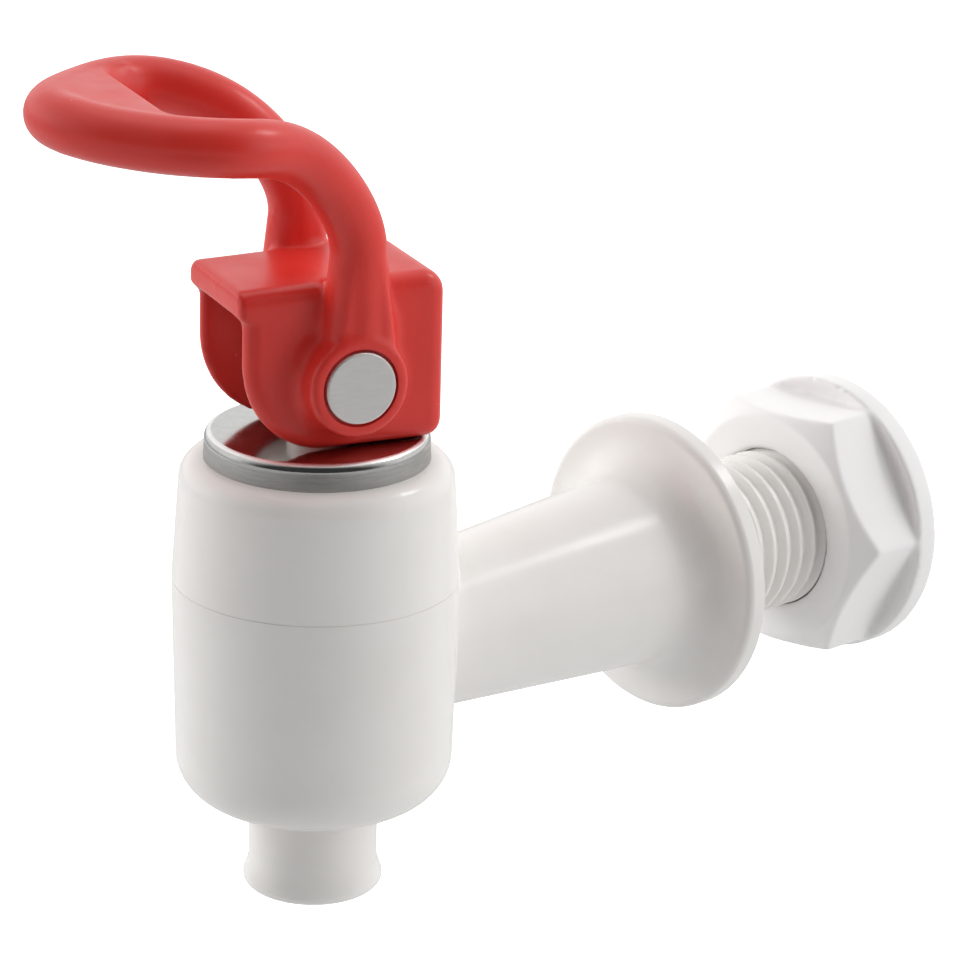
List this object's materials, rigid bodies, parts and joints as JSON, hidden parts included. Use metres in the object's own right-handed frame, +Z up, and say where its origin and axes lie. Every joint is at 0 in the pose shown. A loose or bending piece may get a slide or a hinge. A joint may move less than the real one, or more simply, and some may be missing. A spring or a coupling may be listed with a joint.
{
  "type": "water dispenser spigot",
  "caption": "Push-lever tap for a water dispenser: upright cup with a down spout, looped lever on a cam, tapered tube, flange and threaded shank with a hexagon nut.",
  "frame": {"origin": "on the shank's axis, in the plane of the flange's back face, which seats against the dispenser's wall", "axes": "+Y along the shank into the wall, -Y towards the user, +Z up along the cup's axis"},
  "size_m": [0.0409, 0.121, 0.0976],
  "materials": {
    "white_body": "glossy white moulded plastic",
    "white_nut": "satin white moulded plastic",
    "white_stem": "plain white moulded plastic",
    "red_lever": "glossy red moulded plastic",
    "polished_steel": "polished stainless sheet",
    "brushed_steel": "brushed stainless bar",
    "spring_steel": "drawn stainless wire",
    "silicone": "translucent white silicone"
  },
  "bodies": {
    "tap": {"tap_body": "white_body", "bonnet": "white_body", "wear_cap": "polished_steel", "seat_cup": "silicone"},
    "swivel_set": {"return_spring": "spring_steel"},
    "lift_set": {"stem": "white_stem", "spring_washer": "spring_steel"},
    "lever_set": {"lever": "red_lever", "lever_pin": "brushed_steel"},
    "nut": {"shank_nut": "white_nut"}
  },
  "joints": [
    {"name": "lever_swivel", "type": "hinge", "parent": "tap", "child": "swivel_set", "pos_m": [0, -0.0548, 0.0284], "axis": [0, 0, 1], "continuous": true},
    {"name": "stem_lift", "type": "slide", "parent": "swivel_set", "child": "lift_set", "axis": [0, 0, 1], "range_m": [0, 0.00213], "stiffness_N_per_m": 2500, "springref_m": -0.008, "deforming": ["return_spring", "seat_cup"]},
    {"name": "lever_press", "type": "hinge", "parent": "lift_set", "child": "lever_set", "pos_m": [0, -0.0548, 0.037], "axis": [0.9563, -0.2924, 0], "range_deg": [0, 60]},
    {"name": "nut_travel", "type": "slide", "parent": "tap", "child": "nut", "axis": [0, 1, 0], "range_m": [-0.0159, 0.017]}
  ],
  "couplings": [
    {"joint": "lever_press", "follows": "stem_lift", "rad_per_m": 490.2}
  ]
}
